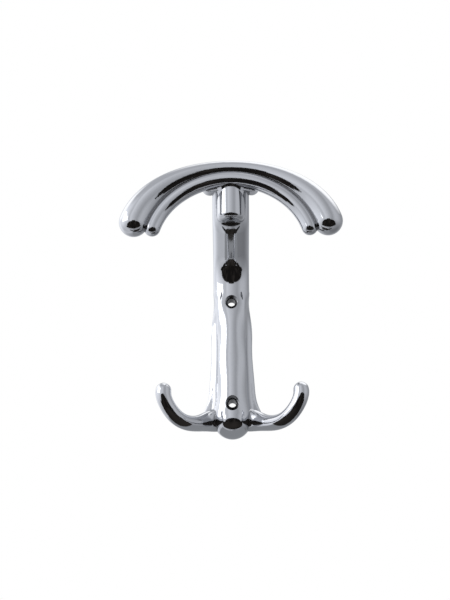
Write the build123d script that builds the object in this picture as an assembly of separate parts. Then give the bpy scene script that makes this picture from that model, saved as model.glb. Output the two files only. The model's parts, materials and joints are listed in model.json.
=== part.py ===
from build123d import *
import math
import os

# Coat hook, one zinc casting, chrome plated. Millimetres, +Z up, X right, the front faces -Y.
# The wall plane is Y = 0; the origin is midway between the two screw holes on that plane.

# Screw holes
screw_pitch = 55.0
hole_diameter = 4.2
countersink_diameter = 8.0
countersink_angle = 90.0

# Stem, a half-round bar with side flanges. Each row of sizes is for one height.
ball_height = -35.3
ball_radius = 9.7
ball_centre_depth = 3.3

foot_height = -39.0
foot_width = 20.0
foot_flange = 3.2
foot_ridge = 16.6
foot_depth = 11.6

low_height = -33.6
low_width = 32.0
low_flange = 4.6
low_ridge = 19.4
low_depth = 12.75

flare_height = -30.0
flare_width = 29.2
flare_flange = 4.2
flare_ridge = 19.0
flare_depth = 12.6

hole_height = -26.0
hole_width = 26.2
hole_flange = 3.4
hole_ridge = 18.0
hole_depth = 12.3

waist_height = -11.0
waist_width = 22.9
waist_flange = 2.7
waist_ridge = 17.0
waist_depth = 11.2

middle_height = 4.0
middle_width = 21.4
middle_flange = 2.4
middle_ridge = 16.4
middle_depth = 10.2

upper_height = 19.0
upper_width = 20.7
upper_flange = 2.2
upper_ridge = 16.8
upper_depth = 9.4

flange_rounding = 0.9
back_rounding = 1.0
back_stock = 0.15  # cast proud of the wall plane, then ground off flat

# Core left by the die in the stem's back, between the two screw bosses
core_width = 11.0
core_depth = 5.0
core_draft = 5.0
core_rounding = 1.5
boss_wall = 6.5

# Arm, the bar's swan neck up to the arch
arm_start_height = 35.0
arm_lead = 2.5
arm_width = 19.2
arm_flange = 2.0
arm_depth = 9.0
low_bend_radius = 17.0
arm_lean = 57.0
high_bend_radius = 10.0
top_lean = 25.0
arm_end_back = 5.4  # the arm's back face ends this far behind the arch's centre line
arm_end_below = 4.9  # and this far below it

# Arch, a small bead and a big bead side by side on an ellipse
projection = 49.0  # wall to the front of the arch's ends
arch_span = 103.0
arch_rise = 39.7
arch_centre_height = 50.3
arch_end_angle = 75.0
big_bead_middle = 3.9
big_bead_end = 7.5
small_bead_middle = 4.1
small_bead_end = 4.2
bead_gap_middle = 6.0
bead_gap_end = 10.1
arch_half_width = arch_span / 2
arch_depth = projection - big_bead_end
arch_top = arch_centre_height + arch_rise

# Post below the arch's middle
post_radius = 7.2
post_proud = 1.8  # stands this far in front of the arch's centre line
post_length = 27.2  # from the arch's centre line to the post's lower end
post_inset = 6.0
post_thickness = 9.3
post_rounding = 2.8

# Saddle, a curved pad behind the arch's middle, where the arm joins it
saddle_width = 30.0
saddle_height = 8.2
saddle_drop = 7.5  # its centre line lies this far below the arch's
saddle_recess = 0.6
saddle_thickness = 7.8
saddle_rounding = 2.4

# Prongs: centre line of the left one, out from the stem, with the rod's height and thickness there
prong_points = [
    (-4.0, -3.6, -33.8, 12.0, 5.6),
    (-8.5, -4.2, -35.2, 11.8, 6.6),
    (-12.6, -5.8, -36.0, 10.6, 7.6),
    (-15.8, -8.6, -37.2, 9.0, 7.8),
    (-18.4, -11.6, -38.1, 8.2, 7.8),
    (-23.2, -17.0, -38.6, 7.8, 7.8),
    (-27.4, -21.4, -37.2, 7.8, 7.8),
    (-32.2, -25.6, -32.1, 7.8, 7.8),
    (-34.4, -26.7, -27.0, 7.9, 7.9),
    (-34.6, -26.7, -24.0, 7.9, 7.9),
]


def stem_section(plane, width, flange, ridge, depth, cove):
    """A flat-backed section: cove = 1 for a ridge with hollow flanks, cove = 0 for a plain half-round."""
    half = width / 2
    r = ridge / 2
    rise = min(r, depth - flange)
    plain = []
    for angle in (20, 40, 60, 70, 78, 85, 90):
        a = math.radians(angle)
        plain.append((r * math.sin(a), depth - rise + rise * math.cos(a)))
    x_ridge, y_ridge = plain[2]
    out = half - x_ridge
    down = y_ridge - flange
    hollow = plain[:3] + [
        (x_ridge + 0.17 * out, flange + 0.46 * down),
        (x_ridge + 0.46 * out, flange + 0.12 * down),
        (half - flange_rounding, flange),
        (half, flange - flange_rounding),
    ]
    right = []
    for p, h in zip(plain, hollow):
        right.append((p[0] + (h[0] - p[0]) * cove, p[1] + (h[1] - p[1]) * cove))
    front = [(-x, -y) for x, y in reversed(right)] + [(0, -depth)] + [(x, -y) for x, y in right]
    b = back_rounding
    back = back_stock
    outline = [
        Line((-half, back - b), front[0]),
        Spline(*front),
        Line(front[-1], (half, back - b)),
        CenterArc((half - b, back - b), b, 0, 90),
        Line((half - b, back), (-half + b, back)),
        CenterArc((-half + b, back - b), b, 90, 90),
    ]
    return plane * make_face(outline)


def make_stem():
    rows = [
        (foot_height, foot_width, foot_flange, foot_ridge, foot_depth, 1.0),
        (low_height, low_width, low_flange, low_ridge, low_depth, 1.0),
        (flare_height, flare_width, flare_flange, flare_ridge, flare_depth, 1.0),
        (hole_height, hole_width, hole_flange, hole_ridge, hole_depth, 1.0),
        (waist_height, waist_width, waist_flange, waist_ridge, waist_depth, 1.0),
        (middle_height, middle_width, middle_flange, middle_ridge, middle_depth, 1.0),
        (upper_height, upper_width, upper_flange, upper_ridge, upper_depth, 0.7),
        (arm_start_height - arm_lead, arm_width, arm_flange, arm_width, arm_depth, 0.0),
        (arm_start_height, arm_width, arm_flange, arm_width, arm_depth, 0.0),
    ]
    sections = []
    for height, width, flange, ridge, depth, cove in rows:
        sections.append(stem_section(Plane.XY.offset(height), width, flange, ridge, depth, cove))
    return loft(sections)


def make_arm():
    """The bar's section carried up a path of straight runs and arcs, from the wall out to the arch."""
    lean = math.radians(arm_lean)
    top = math.radians(top_lean)
    bend = low_bend_radius + arm_depth
    reach = arch_depth - arm_end_back - bend * (1 - math.cos(lean))
    reach -= high_bend_radius * (math.cos(top) - math.cos(lean))
    climb = arch_top - arm_end_below - arm_start_height - bend * math.sin(lean)
    climb -= high_bend_radius * (math.sin(lean) - math.sin(top))
    ramp_length = (reach * math.cos(top) - climb * math.sin(top)) / math.sin(lean - top)
    top_length = (climb * math.sin(lean) - reach * math.cos(lean)) / math.sin(lean - top)
    y1 = -bend * (1 - math.cos(lean))
    z1 = arm_start_height + bend * math.sin(lean)
    y2 = y1 - ramp_length * math.sin(lean)
    z2 = z1 + ramp_length * math.cos(lean)
    y_turn = y2 + high_bend_radius * math.cos(lean)
    z_turn = z2 + high_bend_radius * math.sin(lean)
    y3 = y_turn - high_bend_radius * math.cos(top)
    z3 = z_turn - high_bend_radius * math.sin(top)
    y4 = y3 - top_length * math.sin(top)
    z4 = z3 + top_length * math.cos(top)
    half_low = lean / 2
    half_high = (lean + top) / 2
    path = Wire([
        ThreePointArc(
            (0, 0, arm_start_height),
            (0, -bend * (1 - math.cos(half_low)), arm_start_height + bend * math.sin(half_low)),
            (0, y1, z1)).edge(),
        Line((0, y1, z1), (0, y2, z2)).edge(),
        ThreePointArc(
            (0, y2, z2),
            (0, y_turn - high_bend_radius * math.cos(half_high), z_turn - high_bend_radius * math.sin(half_high)),
            (0, y3, z3)).edge(),
        Line((0, y3, z3), (0, y4, z4)).edge(),
    ])
    section = stem_section(Plane.XY.offset(arm_start_height), arm_width, arm_flange, arm_width, arm_depth, 0.0)
    return sweep(section, path)


def bead_sizes(angle):
    u = abs(angle) / arch_end_angle
    grow = u * u * (3 - 2 * u)
    big = big_bead_middle + (big_bead_end - big_bead_middle) * grow
    small = small_bead_middle + (small_bead_end - small_bead_middle) * grow
    gap = bead_gap_middle + (bead_gap_end - bead_gap_middle) * grow
    return big, small, gap


def arch_plane(angle):
    a = math.radians(angle)
    centre = Vector(arch_half_width * math.sin(a), -arch_depth, arch_centre_height + arch_rise * math.cos(a))
    outward = Vector(math.sin(a) / arch_half_width, 0, math.cos(a) / arch_rise).normalized()
    along = Vector(outward.Z, 0, -outward.X)
    return Plane(origin=centre, x_dir=outward, z_dir=along)


def arch_section(angle):
    big, small, gap = bead_sizes(angle)
    meet = (big * big - small * small + gap * gap) / (2 * gap)
    side = math.sqrt(big * big - meet * meet)
    outline = [
        ThreePointArc((-meet, -side), (big, 0), (-meet, side)),
        ThreePointArc((-meet, side), (-gap - small, 0), (-meet, -side)),
    ]
    return arch_plane(angle) * make_face(outline)


def make_arch():
    count = 12
    angles = [-arch_end_angle + 2 * arch_end_angle * i / count for i in range(count + 1)]
    arch = loft([arch_section(angle) for angle in angles])
    big, small, gap = bead_sizes(arch_end_angle)
    for angle in (-arch_end_angle, arch_end_angle):
        plane = arch_plane(angle)
        arch += plane * Sphere(big)
        arch += plane * Pos(-gap, 0, 0) * Sphere(small)
    return arch


def make_post():
    r = post_radius
    front = arch_depth + post_proud
    axis = front - r
    back = front - post_thickness
    plan = make_face([
        ThreePointArc((-r, -axis), (0, -front), (r, -axis)),
        Polyline((r, -axis), (r, -back), (-r, -back), (-r, -axis)),
    ])
    post = extrude(Pos(0, 0, arch_top - post_length) * plan, post_length - post_inset)
    rim = post.edges().group_by(Axis.Z)[0].sort_by(Axis.Y)[:-1]
    return fillet(rim, post_rounding)


def make_saddle():
    """An arc-shaped pad with round ends, concentric with the top of the arch."""
    crown = arch_half_width * arch_half_width / arch_rise
    radius = crown - saddle_drop
    sweep_angle = math.degrees((saddle_width - saddle_height) / radius)
    centre_line = CenterArc((0, arch_top - crown), radius, 90 - sweep_angle / 2, sweep_angle)
    front = Plane.XZ.offset(arch_depth - saddle_recess)
    pad = extrude(front * SlotArc(centre_line, saddle_height), -saddle_thickness)
    rim = pad.faces().sort_by(Axis.Y)[-1].edges()
    return fillet(rim, saddle_rounding)


def make_prong():
    path = Spline(*[(x, y, z) for x, y, z, height, thick in prong_points])
    across = Vector(0.6, -0.8, 0)
    sections = []
    for x, y, z, height, thick in prong_points:
        along = path % path.param_at_point((x, y, z))
        side = (across - along * across.dot(along)).normalized()
        plane = Plane(origin=(x, y, z), x_dir=along.cross(side), z_dir=along)
        sections.append(plane * Ellipse(height / 2, thick / 2))
    r = prong_points[-1][4] / 2
    quarter = make_face([Line((0, 0), (r, 0)), CenterArc((0, 0), r, 0, 90), Line((0, r), (0, 0))])
    upright = Plane(origin=plane.origin, x_dir=plane.x_dir, z_dir=-plane.y_dir)
    tip = revolve(upright * quarter, Axis(plane.origin, plane.z_dir))
    return loft(sections) + tip


def make_core():
    """The tapered pocket in the back, open at the wall plane."""
    length = screw_pitch - hole_diameter - 2 * boss_wall
    slot = SlotOverall(length, core_width, rotation=90)
    pocket = extrude(Plane.XZ * slot, core_depth, taper=core_draft)
    pocket = fillet(pocket.faces().sort_by(Axis.Y)[0].edges(), core_rounding)
    return pocket + extrude(Plane.XZ * slot, -core_depth)


def screw_hole(height):
    deep = 60.0
    sink = (countersink_diameter - hole_diameter) / 2 / math.tan(math.radians(countersink_angle / 2))
    if height > 0:
        face = upper_depth
    else:
        face = hole_depth
    profile = Polyline(
        (0, 1), (hole_diameter / 2, 1), (hole_diameter / 2, sink - face),
        (countersink_diameter / 2, -face), (countersink_diameter / 2, -deep), (0, -deep), close=True)
    return Pos(0, 0, height) * revolve(make_face(profile), Axis.Y)


prong = make_prong()
ball = Pos(0, -ball_centre_depth, ball_height) * Sphere(ball_radius)
stock = 2 * arch_span
behind_wall = Pos(0, stock / 2, 0) * Box(2 * stock, stock, 2 * stock)

hook = make_stem() + make_arm() + ball + prong + mirror(prong, about=Plane.YZ)
hook = hook + make_post() + make_saddle() + make_arch()
hook = hook - behind_wall - make_core()
hook = hook - screw_hole(screw_pitch / 2) - screw_hole(-screw_pitch / 2)
hook = hook.solids().sort_by(SortBy.VOLUME)[-1]
hook.label = "hook_casting"

os.makedirs("parts", exist_ok=True)
export_step(hook, "parts/hook_casting.step")
print("volume cm3", round(hook.volume / 1000, 2), "valid", hook.is_valid, "box", hook.bounding_box())
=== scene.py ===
import json
import math
import bpy
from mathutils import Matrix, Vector

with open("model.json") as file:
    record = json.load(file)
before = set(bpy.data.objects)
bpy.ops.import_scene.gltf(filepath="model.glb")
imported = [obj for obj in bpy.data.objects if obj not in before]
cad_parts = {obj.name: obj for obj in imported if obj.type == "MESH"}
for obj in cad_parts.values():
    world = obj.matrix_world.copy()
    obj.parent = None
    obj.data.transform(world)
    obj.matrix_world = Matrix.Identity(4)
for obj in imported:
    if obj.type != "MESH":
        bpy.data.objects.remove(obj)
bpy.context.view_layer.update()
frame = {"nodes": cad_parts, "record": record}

print("frame loaded:", sorted(frame["nodes"]))

mm = 0.001  # the scene is in metres


def linear(hexColour):
    # sRGB hex to the linear values a shader socket takes
    values = []
    for i in (1, 3, 5):
        c = int(hexColour[i:i + 2], 16) / 255
        values.append(c / 12.92 if c <= 0.04045 else ((c + 0.055) / 1.055) ** 2.4)
    return (values[0], values[1], values[2], 1.0)


def addNode(tree, kind, settings=None, inputs=None, links=None):
    # settings go on the node, inputs on its sockets, links are (output socket, input name or number)
    node = tree.nodes.new(kind)
    for name, value in (settings or {}).items():
        setattr(node, name, value)
    for name, value in (inputs or {}).items():
        node.inputs[name].default_value = value
    for source, name in (links or []):
        tree.links.new(source, node.inputs[name])
    return node


# a Mix node's colour sockets share their names with its number sockets, so they go by their place
mixFirst = 6
mixSecond = 7
mixResult = 2
white = (1.0, 1.0, 1.0, 1.0)


def emptyMaterial(name):
    mat = bpy.data.materials.new(name)
    mat.use_nodes = True
    mat.node_tree.nodes.clear()
    return mat, mat.node_tree


# Chrome plate: decorative chromium over nickel on a polished zinc casting. A cool grey mirror with a
# faint haze in places. The creases are rougher and darkened with painted shade, and the screw holes
# are rougher, with dark painted shade in their bores that fades out up the countersinks.
chrome = {
    "colour": "#cccdd1",
    "colourThin": "#c4c6ca",
    "roughClean": 0.05,
    "roughHaze": 0.10,
    "hazeMm": 14.0,       # handling haze
    "hazeDetail": 4.0,
    "hazeBreakUp": 0.6,
    "hazeStart": 0.4,     # noise level at which the haze begins
    "hazeFull": 0.75,
    "pitMm": 0.9,         # plating grain, drawn coarser than the real one so that it shows
    "pitDetail": 2.0,
    "pitHeightMm": 0.0006,
    "edgeMm": 0.5,        # sharp edges are rubbed round by the polishing mop
    "edgeSamples": 6,
    "creaseMm": 3.0,      # how far a neighbouring surface reaches to cast the painted crease shade and roughness
    "creaseSamples": 8,
    "creaseShadeColour": "#98989a",
    "creaseRough": 0.16,
    "creaseFull": 0.40,   # openness at which the painted crease shade and roughness are full
    "creaseNone": 0.93,   # openness at which there is no painted crease shade and no crease roughness
    "boreShadeColour": "#3c3b3b",
    "boreRough": 0.35,
    "boreFadeMm": 1.9,    # the painted bore shade and roughness fade out over this width up the countersink
    "backMm": 0.05,       # the flat back behind this depth gets no painted bore shade or roughness
}


def chromePlate(holePitch, holeRadius):
    mat, tree = emptyMaterial("chrome plate, polished")
    place = addNode(tree, "ShaderNodeTexCoord")
    point = place.outputs["Object"]
    haze = addNode(tree, "ShaderNodeTexNoise", inputs={
        "Scale": 1 / (chrome["hazeMm"] * mm), "Detail": chrome["hazeDetail"],
        "Roughness": chrome["hazeBreakUp"]}, links=[(point, "Vector")])
    pits = addNode(tree, "ShaderNodeTexNoise", inputs={
        "Scale": 1 / (chrome["pitMm"] * mm), "Detail": chrome["pitDetail"]}, links=[(point, "Vector")])
    openness = addNode(tree, "ShaderNodeAmbientOcclusion",
                       settings={"samples": chrome["creaseSamples"], "only_local": True},
                       inputs={"Distance": chrome["creaseMm"] * mm})
    crease = addNode(tree, "ShaderNodeMapRange", inputs={
        "From Min": chrome["creaseFull"], "From Max": chrome["creaseNone"], "To Min": 1.0, "To Max": 0.0},
        links=[(openness.outputs["AO"], "Value")])

    # distance from the nearer of the two hole axes, one above and one below the origin
    axes = addNode(tree, "ShaderNodeSeparateXYZ", links=[(point, "Vector")])
    height = addNode(tree, "ShaderNodeMath", settings={"operation": "ABSOLUTE"},
                     links=[(axes.outputs["Z"], 0)])
    offset = addNode(tree, "ShaderNodeMath", settings={"operation": "SUBTRACT"},
                     inputs={1: holePitch / 2}, links=[(height.outputs[0], 0)])
    flat = addNode(tree, "ShaderNodeCombineXYZ",
                   links=[(axes.outputs["X"], "X"), (offset.outputs[0], "Y")])
    away = addNode(tree, "ShaderNodeVectorMath", settings={"operation": "LENGTH"},
                   links=[(flat.outputs["Vector"], 0)])
    # painted bore shade and roughness: strongest at the bore, fading out up the countersink, and left off
    # the flat back
    bore = addNode(tree, "ShaderNodeMapRange", inputs={
        "From Min": holeRadius, "From Max": holeRadius + chrome["boreFadeMm"] * mm,
        "To Min": 1.0, "To Max": 0.0}, links=[(away.outputs["Value"], "Value")])
    inside = addNode(tree, "ShaderNodeMath", settings={"operation": "LESS_THAN"},
                     inputs={1: -chrome["backMm"] * mm}, links=[(axes.outputs["Y"], 0)])
    boreShadeAndDull = addNode(tree, "ShaderNodeMath", settings={"operation": "MULTIPLY"},
                   links=[(bore.outputs["Result"], 0), (inside.outputs[0], 1)])

    rough = addNode(tree, "ShaderNodeMapRange", inputs={
        "From Min": chrome["hazeStart"], "From Max": chrome["hazeFull"],
        "To Min": chrome["roughClean"], "To Max": chrome["roughHaze"]},
        links=[(haze.outputs["Fac"], "Value")])
    roughCrease = addNode(tree, "ShaderNodeMix", inputs={"B": chrome["creaseRough"]},
                          links=[(crease.outputs["Result"], "Factor"), (rough.outputs["Result"], "A")])
    roughAll = addNode(tree, "ShaderNodeMix", inputs={"B": chrome["boreRough"]},
                       links=[(boreShadeAndDull.outputs[0], "Factor"), (roughCrease.outputs["Result"], "A")])

    tint = addNode(tree, "ShaderNodeMix", settings={"data_type": "RGBA"}, inputs={
        mixFirst: linear(chrome["colour"]), mixSecond: linear(chrome["colourThin"])},
        links=[(haze.outputs["Fac"], "Factor")])
    # painted shade: creases darken towards the crease colour where ambient occlusion finds a neighbouring
    # surface
    tintCreaseShade = addNode(tree, "ShaderNodeMix", settings={"data_type": "RGBA"},
                         inputs={mixSecond: linear(chrome["creaseShadeColour"])},
                         links=[(crease.outputs["Result"], "Factor"), (tint.outputs[mixResult], mixFirst)])
    # painted shade: the bores and countersinks darken towards the bore colour
    tintAll = addNode(tree, "ShaderNodeMix", settings={"data_type": "RGBA"},
                      inputs={mixSecond: linear(chrome["boreShadeColour"])},
                      links=[(boreShadeAndDull.outputs[0], "Factor"), (tintCreaseShade.outputs[mixResult], mixFirst)])

    edges = addNode(tree, "ShaderNodeBevel", settings={"samples": chrome["edgeSamples"]},
                    inputs={"Radius": chrome["edgeMm"] * mm})
    grain = addNode(tree, "ShaderNodeBump", inputs={
        "Strength": 1.0, "Distance": chrome["pitHeightMm"] * mm},
        links=[(pits.outputs["Fac"], "Height"), (edges.outputs["Normal"], "Normal")])
    metal = addNode(tree, "ShaderNodeBsdfPrincipled", inputs={"Metallic": 1.0}, links=[
        (tintAll.outputs[mixResult], "Base Color"), (roughAll.outputs["Result"], "Roughness"),
        (grain.outputs["Normal"], "Normal")])
    addNode(tree, "ShaderNodeOutputMaterial", links=[(metal.outputs["BSDF"], "Surface")])
    return mat


casting = frame["nodes"]["hook_casting"]
holes = next(m for m in frame["record"]["mounts"] if m["name"] == "wall_screws")["dims"]
casting.data.materials.clear()
casting.data.materials.append(chromePlate(holes["spacing_y_mm"] * mm, holes["hole_r_mm"] * mm))
print("casting plated")


# Stage: chrome shows what stands round it, so a glowing cloth tent with painted light and shade, black felt
# and a grey card of painted shade under the foot surround the hook, seen by reflections only. The camera
# sees the pale floor and the white world.
def addMesh(name, corners, mat):
    mesh = bpy.data.meshes.new(name)
    mesh.from_pydata(corners, [], [tuple(range(len(corners)))])
    mesh.materials.append(mat)
    obj = bpy.data.objects.new(name, mesh)
    bpy.context.scene.collection.objects.link(obj)
    return obj


def reflectionOnly(obj):
    obj.visible_camera = False
    obj.visible_diffuse = False
    obj.visible_shadow = False
    obj.visible_transmission = False


ground = {
    "colour": "#f4f4f2",
    "height": -0.30,
    "reach": 12.0,
}


def floorPaint():
    # matt paint, plain and pale
    mat, tree = emptyMaterial("pale studio floor")
    paint = addNode(tree, "ShaderNodeBsdfDiffuse", inputs={"Color": linear(ground["colour"])})
    addNode(tree, "ShaderNodeOutputMaterial", links=[(paint.outputs["BSDF"], "Surface")])
    return mat


reach = ground["reach"]
floorCorners = [(x * reach, y * reach, ground["height"]) for x, y in ((-1, -1), (1, -1), (1, 1), (-1, 1))]
floor = addMesh("floor", floorCorners, floorPaint())
floor.visible_glossy = False  # the tent is closed below, so reflections see its cloth

tent = {
    "radius": 3.0,
    "segments": 48,
    "rings": 24,
    "glow": 1.64,  # brightness of the skylight and the left light, the brightest cloth
    "tint": (0.98, 1.0, 1.045),
    # brightness of the cloth round the horizon: degrees from the front towards the right, and level
    "horizon": [(-90, 1.3), (-48, 1.0), (-30, 0.74), (-20, 0.95), (0, 0.74), (14, 0.58), (28, 0.49),
                (50, 0.71), (70, 0.69), (100, 0.53), (117, 0.42), (140, 0.44), (165, 0.55), (180, 0.60),
                (205, 0.9), (230, 1.35), (250, 1.13), (270, 1.3)],
    "topLevel": 0.64,
    "lowShare": 0.60,  # painted shade: the cloth below keeps this share of the brightness above it
    # soft round caps of painted light and shade on the tent: axis, and the cosines off it at which a cap
    # starts and is full
    "caps": {
        "top": ((0.0, 0.0, 1.0), 0.66, 0.85),
        "low": ((0.0, 0.0, -1.0), -0.1, 0.6),
        "skylight": ((0.302, 0.272, 0.914), 0.805, 0.955),
        "leftLight": ((-0.714, 0.333, 0.616), 0.90, 0.985),
    },
}


def clothColour(level):
    return tuple(level / tent["glow"] * c for c in tent["tint"]) + (1.0,)


def tentCloth():
    # white cloth whose light is painted: it only glows, with painted bright caps for a skylight and a left
    # light, a painted top level and painted shade below
    mat, tree = emptyMaterial("white tent cloth")
    place = addNode(tree, "ShaderNodeTexCoord")
    point = place.outputs["Object"]
    turn = addNode(tree, "ShaderNodeTexGradient", settings={"gradient_type": "RADIAL"},
                   links=[(point, "Vector")])
    horizon = addNode(tree, "ShaderNodeValToRGB", links=[(turn.outputs["Fac"], "Fac")])
    stops = horizon.color_ramp.elements
    for i, (azimuth, level) in enumerate(tent["horizon"]):
        at = (azimuth + 90) / 360
        stop = stops[i] if i < 2 else stops.new(at)  # a new ramp has two stops
        stop.position = at
        stop.color = clothColour(level)
    masks = {}
    for name, (axis, start, full) in tent["caps"].items():
        along = addNode(tree, "ShaderNodeVectorMath", settings={"operation": "DOT_PRODUCT"},
                        inputs={1: axis}, links=[(point, 0)])
        cap = addNode(tree, "ShaderNodeMapRange", settings={"interpolation_type": "SMOOTHSTEP"}, inputs={
            "From Min": start * tent["radius"], "From Max": full * tent["radius"]},
            links=[(along.outputs["Value"], "Value")])
        masks[name] = cap.outputs["Result"]
    low = tent["lowShare"]
    layers = (
        ("top", "MIX", clothColour(tent["topLevel"])),
        ("low", "MULTIPLY", (low, low, low, 1.0)),
        ("skylight", "MIX", white),
        ("leftLight", "MIX", white),
    )
    cloth = horizon.outputs["Color"]
    for name, blend, colour in layers:
        layer = addNode(tree, "ShaderNodeMix", settings={"data_type": "RGBA", "blend_type": blend},
                        inputs={mixSecond: colour}, links=[(masks[name], "Factor"), (cloth, mixFirst)])
        cloth = layer.outputs[mixResult]
    glow = addNode(tree, "ShaderNodeEmission", inputs={"Strength": tent["glow"]}, links=[(cloth, "Color")])
    addNode(tree, "ShaderNodeOutputMaterial", links=[(glow.outputs["Emission"], "Surface")])
    return mat


bpy.ops.mesh.primitive_uv_sphere_add(segments=tent["segments"], ring_count=tent["rings"],
                                     radius=tent["radius"])
tentDome = bpy.context.object
tentDome.name = "tent"
tentDome.data.materials.append(tentCloth())
reflectionOnly(tentDome)

felt = {
    "colour": "#1c1a19",
    "foldColour": "#383431",
    "foldMm": 90.0,     # soft upright folds
    "foldDetail": 2.0,
    "foldSquash": (1.0, 1.0, 0.25),  # a fold is four times as long as it is wide
    "foldStart": 0.5,   # noise level at which a fold begins to catch light
    "foldFull": 0.7,
    # hanging in front of the hook: distance from the wall, and outline as (x, z)
    "hung": {
        "nearFlag": (0.40, [(-0.15, 0.008), (0.17, 0.008), (0.30, -0.025), (0.46, -0.09), (0.62, -0.19),
                            (0.78, -0.38), (1.18, -0.58), (1.18, -0.85), (-1.0, -0.85), (-0.98, -0.58),
                            (-0.64, -0.38), (-0.51, -0.19), (-0.38, -0.09), (-0.26, -0.025)]),
        "farFlag": (0.60, [(-0.09, 0.045), (0.09, 0.045), (0.14, 0.02), (0.16, -0.30), (-0.16, -0.30),
                           (-0.14, 0.02)]),
    },
    # lying under the hook: height, and outline as (x, y)
    "underFlag": (-0.05, [(-0.095, -0.065), (-0.045, -0.05), (-0.03, -0.06), (0.03, -0.06),
                          (0.045, -0.05), (0.095, -0.065), (0.095, -0.055), (0.026, -0.018),
                          (-0.026, -0.018), (-0.095, -0.055)]),
}


def blackFelt():
    # pressed wool, black and matt: a little light on its folds is all that shows
    mat, tree = emptyMaterial("black felt")
    place = addNode(tree, "ShaderNodeTexCoord")
    squash = addNode(tree, "ShaderNodeMapping", inputs={"Scale": felt["foldSquash"]},
                     links=[(place.outputs["Object"], "Vector")])
    folds = addNode(tree, "ShaderNodeTexNoise", inputs={
        "Scale": 1 / (felt["foldMm"] * mm), "Detail": felt["foldDetail"]},
        links=[(squash.outputs["Vector"], "Vector")])
    lit = addNode(tree, "ShaderNodeMapRange", inputs={
        "From Min": felt["foldStart"], "From Max": felt["foldFull"]},
        links=[(folds.outputs["Fac"], "Value")])
    colour = addNode(tree, "ShaderNodeMix", settings={"data_type": "RGBA"}, inputs={
        mixFirst: linear(felt["colour"]), mixSecond: linear(felt["foldColour"])},
        links=[(lit.outputs["Result"], "Factor")])
    glow = addNode(tree, "ShaderNodeEmission", inputs={"Strength": 1.0},
                   links=[(colour.outputs[mixResult], "Color")])
    addNode(tree, "ShaderNodeOutputMaterial", links=[(glow.outputs["Emission"], "Surface")])
    return mat


feltMat = blackFelt()
for name, (front, outline) in felt["hung"].items():
    reflectionOnly(addMesh(name, [(x, -front, z) for x, z in outline], feltMat))
underHeight, underOutline = felt["underFlag"]
reflectionOnly(addMesh("underFlag", [(x, y, underHeight) for x, y in underOutline], feltMat))

# painted shade: a grey card that glows at a set level keeps the underside of the foot darker than the cloth
# would
footShadeCard = {
    "colour": "#a0a2a5",
    "height": -0.075,
    "outline": [(-0.06, -0.02), (0.06, -0.02), (0.06, 0.10), (-0.06, 0.10)],
}


def footShadeGlow():
    # plain grey card that only glows at a set level: painted shade, seen in reflections
    mat, tree = emptyMaterial("grey shelf")
    card = addNode(tree, "ShaderNodeEmission", inputs={"Color": linear(footShadeCard["colour"]), "Strength": 1.0})
    addNode(tree, "ShaderNodeOutputMaterial", links=[(card.outputs["Emission"], "Surface")])
    return mat


reflectionOnly(addMesh("footShadeCard", [(x, y, footShadeCard["height"]) for x, y in footShadeCard["outline"]], footShadeGlow()))
print("tent, felt and shelf set")

# Window: a large soft light on the left
window = {
    "size": (1.20, 0.92),
    "place": (-1.2, -0.685, 0.59),
    "aim": (0.0, -0.685, 0.59),
    "radiance": 1.6,
}
windowLight = bpy.data.lights.new("window", "AREA")
windowLight.shape = "RECTANGLE"
windowLight.size, windowLight.size_y = window["size"]
windowLight.energy = window["radiance"] * math.pi * window["size"][0] * window["size"][1]
windowLamp = bpy.data.objects.new("window", windowLight)
bpy.context.scene.collection.objects.link(windowLamp)
windowLamp.location = window["place"]
windowLamp.rotation_mode = "QUATERNION"
windowLamp.rotation_quaternion = (Vector(window["aim"]) - Vector(window["place"])).to_track_quat("-Z", "Y")
windowLamp.visible_camera = False

# World: plain white behind the hook, and an even pale light on the floor
surround = {
    "ambientColour": "#e6e8ec",
    "ambientStrength": 1.1,
    "whiteStrength": 1.0,
}
world = bpy.data.worlds.new("white studio")
bpy.context.scene.world = world
world.use_nodes = True
sky = world.node_tree
sky.nodes.clear()
path = addNode(sky, "ShaderNodeLightPath")
seen = addNode(sky, "ShaderNodeMath", settings={"operation": "ADD"}, links=[
    (path.outputs["Is Camera Ray"], 0), (path.outputs["Is Glossy Ray"], 1)])
seenAll = addNode(sky, "ShaderNodeMath", settings={"operation": "ADD", "use_clamp": True}, links=[
    (seen.outputs[0], 0), (path.outputs["Is Transmission Ray"], 1)])
ambient = addNode(sky, "ShaderNodeBackground", inputs={
    "Color": linear(surround["ambientColour"]), "Strength": surround["ambientStrength"]})
backdrop = addNode(sky, "ShaderNodeBackground", inputs={
    "Color": white, "Strength": surround["whiteStrength"]})
both = addNode(sky, "ShaderNodeMixShader", links=[
    (seenAll.outputs[0], 0), (ambient.outputs[0], 1), (backdrop.outputs[0], 2)])
addNode(sky, "ShaderNodeOutputWorld", links=[(both.outputs[0], "Surface")])
print("window and world set")

# Camera: the photograph looks up at the hook from below
shot = {
    "elevation": -16.6,  # degrees, negative is below the hook
    "azimuth": 0.3,      # degrees from straight out of the wall, positive to the right
    "roll": -0.4,
    "distance": 0.6,
    "target": (-0.0034, -0.015, 0.0267),
    "lens": 68.6,
    "sensor": 36.0,
}
cameraData = bpy.data.cameras.new("camera")
cameraData.sensor_width = shot["sensor"]
cameraData.lens = shot["lens"]
camera = bpy.data.objects.new("camera", cameraData)
bpy.context.scene.collection.objects.link(camera)
turned = math.radians(shot["azimuth"])
raised = math.radians(shot["elevation"])
back = Vector((math.sin(turned) * math.cos(raised), -math.cos(turned) * math.cos(raised), math.sin(raised)))
camera.location = Vector(shot["target"]) + back * shot["distance"]
camera.rotation_euler = (-back).to_track_quat("-Z", "Y").to_euler()
camera.rotation_euler.rotate_axis("Z", math.radians(shot["roll"]))
bpy.context.scene.camera = camera
bpy.context.scene.view_settings.view_transform = "Standard"
